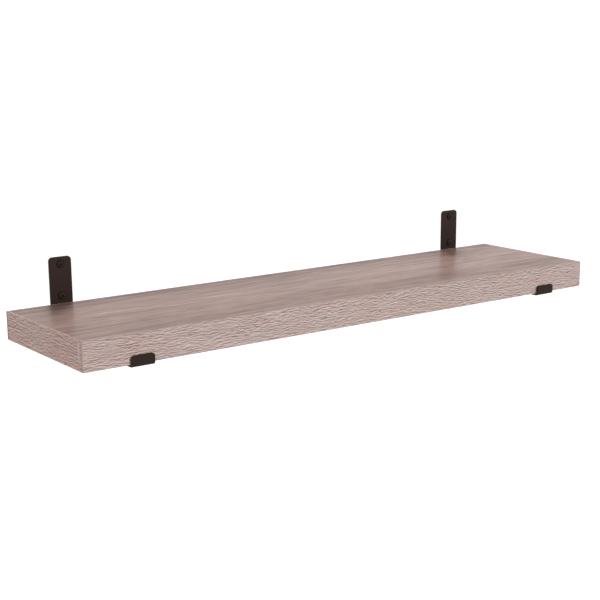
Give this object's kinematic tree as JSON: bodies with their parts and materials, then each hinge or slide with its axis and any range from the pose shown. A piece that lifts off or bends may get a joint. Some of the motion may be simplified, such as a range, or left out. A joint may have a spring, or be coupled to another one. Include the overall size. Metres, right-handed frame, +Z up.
{
  "type": "bracket wall shelf",
  "caption": "Straight wood-print wall shelf board carried by J-shaped dark steel strip brackets, with screws to the wall above the board and a short lip up its front.",
  "frame": {"origin": "centre of the four wall screws, on the wall's face, which is the back of the brackets' uprights", "axes": "+X along the board to the right of someone facing the wall, +Y into the wall, +Z up"},
  "size_m": [0.8, 0.253, 0.0996],
  "materials": {
    "print_panel": "smooth satin wood print on fibreboard",
    "embossed_edge": "deeply embossed wood print, satin",
    "frame_wood": "raw chipboard",
    "core_card": "brown card",
    "bracket_coat": "fine matt powder coat",
    "screw_black": "black phosphate, satin"
  },
  "bodies": {
    "root": {"top_panel": "print_panel", "bottom_panel": "print_panel", "front_rail": "frame_wood", "back_rail": "frame_wood", "left_end_block": "frame_wood", "right_end_block": "frame_wood", "honeycomb_core": "core_card", "front_edge_band": "embossed_edge", "back_edge_band": "embossed_edge", "left_end_band": "embossed_edge", "right_end_band": "embossed_edge", "left_bracket": "bracket_coat", "right_bracket": "bracket_coat", "wall_screws": "screw_black", "board_screws": "screw_black"}
  },
  "joints": []
}
